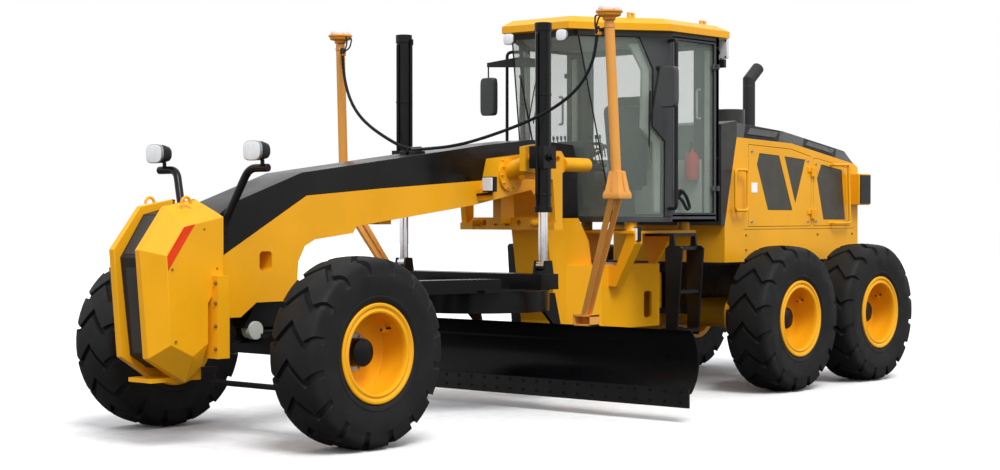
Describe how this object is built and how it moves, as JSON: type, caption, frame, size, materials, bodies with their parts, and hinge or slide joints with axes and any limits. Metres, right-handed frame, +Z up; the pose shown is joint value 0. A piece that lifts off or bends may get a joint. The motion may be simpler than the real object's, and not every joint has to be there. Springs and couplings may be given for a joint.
{
  "type": "motor grader",
  "caption": "Yellow articulated motor grader with a rolled blade on a turning circle, leaning steered front wheels, tandem rear wheels and a glazed cab",
  "frame": {"origin": "on the ground under the middle of the machine's bounding box", "axes": "+X forward, +Y to the machine's left, +Z up"},
  "size_m": [8.98, 3.965, 3.403],
  "materials": {
    "tyre_rubber": "tread blocks, dusty in the grooves",
    "machine_yellow": "gloss paint on plate and castings",
    "mast_orange": "orange paint on the masts",
    "dark_frame": "satin black paint",
    "bare_steel": "worn cutting steel",
    "rod_chrome": "hard chrome on the cylinder rods",
    "cab_glass": "lightly tinted safety glass",
    "lamp_plastic": "clear lenses in black housings",
    "dark_plastic": "moulded covers and grilles",
    "cable_rubber": "ribbed cable sleeve",
    "receiver_grey": "moulded receiver housings",
    "seat_cloth": "woven seat cover",
    "steel_grey": "grey painted castings"
  },
  "bodies": {
    "front": {"front_frame": "machine_yellow", "frame_cap": "dark_frame", "counterweight": "machine_yellow", "nose_grille": "dark_frame", "front_lamps": "lamp_plastic", "front_axle": "dark_frame", "lift_arms": "machine_yellow", "lift_barrel_left": "dark_frame", "lift_barrel_right": "dark_frame", "cab_frame": "dark_frame", "cab_glass": "cab_glass", "cab_roof": "machine_yellow", "cab_interior": "seat_cloth", "cab_rails": "dark_frame", "ladders": "dark_frame", "mast_cable_left": "cable_rubber", "mast_cable_right": "cable_rubber"},
    "rear": {"rear_frame": "dark_frame", "tandem_cases": "machine_yellow", "engine_block": "steel_grey", "engine_hood": "machine_yellow", "hood_cap": "dark_plastic", "radiator_grille": "dark_plastic", "exhaust": "steel_grey", "handrails": "machine_yellow", "rear_lamps": "lamp_plastic"},
    "tie_rod": {"tie_rod": "steel_grey"},
    "drawbar": {"drawbar": "dark_frame"},
    "circle": {"circle": "dark_frame"},
    "carriage": {"blade_carriage": "dark_frame"},
    "blade": {"moldboard": "dark_frame", "cutting_edges": "bare_steel", "gnss_masts": "mast_orange", "gnss_receivers": "receiver_grey"},
    "lean_left": {"lean_bracket_left": "dark_frame"},
    "knuckle_left": {"knuckle_left": "steel_grey"},
    "lift_rod_left": {"lift_rod_left": "rod_chrome"},
    "cab_door_left": {"cab_door_left": "dark_frame", "cab_door_glass_left": "cab_glass"},
    "hood_door_front_left": {"hood_door_front_left": "machine_yellow"},
    "hood_door_rear_left": {"hood_door_rear_left": "machine_yellow"},
    "wheel_front_left": {"tyre_front_left": "tyre_rubber", "rim_front_left": "machine_yellow"},
    "wheel_mid_left": {"tyre_mid_left": "tyre_rubber", "rim_mid_left": "machine_yellow"},
    "wheel_rear_left": {"tyre_rear_left": "tyre_rubber", "rim_rear_left": "machine_yellow"},
    "lean_right": {"lean_bracket_right": "dark_frame"},
    "knuckle_right": {"knuckle_right": "steel_grey"},
    "lift_rod_right": {"lift_rod_right": "rod_chrome"},
    "cab_door_right": {"cab_door_right": "dark_frame", "cab_door_glass_right": "cab_glass"},
    "hood_door_front_right": {"hood_door_front_right": "machine_yellow"},
    "hood_door_rear_right": {"hood_door_rear_right": "machine_yellow"},
    "wheel_front_right": {"tyre_front_right": "tyre_rubber", "rim_front_right": "machine_yellow"},
    "wheel_mid_right": {"tyre_mid_right": "tyre_rubber", "rim_mid_right": "machine_yellow"},
    "wheel_rear_right": {"tyre_rear_right": "tyre_rubber", "rim_rear_right": "machine_yellow"}
  },
  "joints": [
    {"name": "lean_left", "type": "hinge", "parent": "front", "child": "lean_left", "pos_m": [3.29, 0.69, 0.65], "axis": [-1, 0, 0], "range_deg": [-17, 17]},
    {"name": "steer_left", "type": "hinge", "parent": "lean_left", "child": "knuckle_left", "pos_m": [3.29, 0.8, 0.65], "axis": [0, 0, 1], "range_deg": [-45, 45]},
    {"name": "spin_front_left", "type": "hinge", "parent": "knuckle_left", "child": "wheel_front_left", "pos_m": [3.29, 1.09, 0.675], "axis": [0, 1, 0], "continuous": true},
    {"name": "lean_right", "type": "hinge", "parent": "front", "child": "lean_right", "pos_m": [3.29, -0.69, 0.65], "axis": [-1, 0, 0], "range_deg": [-17, 17]},
    {"name": "steer_right", "type": "hinge", "parent": "lean_right", "child": "knuckle_right", "pos_m": [3.29, -0.8, 0.65], "axis": [0, 0, 1], "range_deg": [-45, 45]},
    {"name": "spin_front_right", "type": "hinge", "parent": "knuckle_right", "child": "wheel_front_right", "pos_m": [3.29, -1.09, 0.675], "axis": [0, 1, 0], "continuous": true},
    {"name": "tie_rod_slide", "type": "slide", "parent": "front", "child": "tie_rod", "axis": [0, 1, 0], "range_m": [-0.158, 0.158]},
    {"name": "articulation", "type": "hinge", "parent": "front", "child": "rear", "pos_m": [-1.66, 0, 0.9], "axis": [0, 0, 1], "range_deg": [-25, 25]},
    {"name": "spin_mid_left", "type": "hinge", "parent": "rear", "child": "wheel_mid_left", "pos_m": [-2.25, 1.09, 0.675], "axis": [0, 1, 0], "continuous": true},
    {"name": "spin_mid_right", "type": "hinge", "parent": "rear", "child": "wheel_mid_right", "pos_m": [-2.25, -1.09, 0.675], "axis": [0, 1, 0], "continuous": true},
    {"name": "spin_rear_left", "type": "hinge", "parent": "rear", "child": "wheel_rear_left", "pos_m": [-3.73, 1.09, 0.675], "axis": [0, 1, 0], "continuous": true},
    {"name": "spin_rear_right", "type": "hinge", "parent": "rear", "child": "wheel_rear_right", "pos_m": [-3.73, -1.09, 0.675], "axis": [0, 1, 0], "continuous": true},
    {"name": "blade_lift", "type": "hinge", "parent": "front", "child": "drawbar", "pos_m": [2.89, 0, 0.98], "axis": [0, 1, 0], "range_deg": [-18, 8], "deforming": ["mast_cable_left", "mast_cable_right"]},
    {"name": "lift_rod_slide_left", "type": "slide", "parent": "front", "child": "lift_rod_left", "axis": [0, 0, 1], "range_m": [-0.66, 0.3]},
    {"name": "lift_rod_slide_right", "type": "slide", "parent": "front", "child": "lift_rod_right", "axis": [0, 0, 1], "range_m": [-0.66, 0.3]},
    {"name": "circle_turn", "type": "hinge", "parent": "drawbar", "child": "circle", "pos_m": [0.81, 0, 0.835], "axis": [0, 0, 1], "range_deg": [-38, 38]},
    {"name": "blade_tilt", "type": "hinge", "parent": "circle", "child": "carriage", "pos_m": [0.285, 0, 0.52], "axis": [0, -1, 0], "range_deg": [-42, 5]},
    {"name": "blade_side_shift", "type": "slide", "parent": "carriage", "child": "blade", "axis": [0, -1, 0], "range_m": [-0.3, 0.3]},
    {"name": "cab_door_left", "type": "hinge", "parent": "front", "child": "cab_door_left", "pos_m": [-1.51, 0.867, 2.4], "axis": [0, 0, 1], "range_deg": [0, 85]},
    {"name": "hood_door_front_left", "type": "hinge", "parent": "rear", "child": "hood_door_front_left", "pos_m": [-3.49, 0.667, 1.85], "axis": [0, 0, 1], "range_deg": [0, 80]},
    {"name": "hood_door_rear_left", "type": "hinge", "parent": "rear", "child": "hood_door_rear_left", "pos_m": [-3.53, 0.667, 1.85], "axis": [0, 0, -1], "range_deg": [0, 80]},
    {"name": "cab_door_right", "type": "hinge", "parent": "front", "child": "cab_door_right", "pos_m": [-1.51, -0.867, 2.4], "axis": [0, 0, -1], "range_deg": [0, 85]},
    {"name": "hood_door_front_right", "type": "hinge", "parent": "rear", "child": "hood_door_front_right", "pos_m": [-3.49, -0.667, 1.85], "axis": [0, 0, -1], "range_deg": [0, 80]},
    {"name": "hood_door_rear_right", "type": "hinge", "parent": "rear", "child": "hood_door_rear_right", "pos_m": [-3.53, -0.667, 1.85], "axis": [0, 0, 1], "range_deg": [0, 80]}
  ],
  "couplings": [
    {"joint": "lean_right", "follows": "lean_left", "ratio": 1},
    {"joint": "steer_right", "follows": "steer_left", "ratio": 1},
    {"joint": "tie_rod_slide", "follows": "steer_left", "m_per_rad": -0.2},
    {"joint": "lift_rod_slide_left", "follows": "blade_lift", "m_per_rad": 2},
    {"joint": "lift_rod_slide_right", "follows": "blade_lift", "m_per_rad": 2}
  ]
}
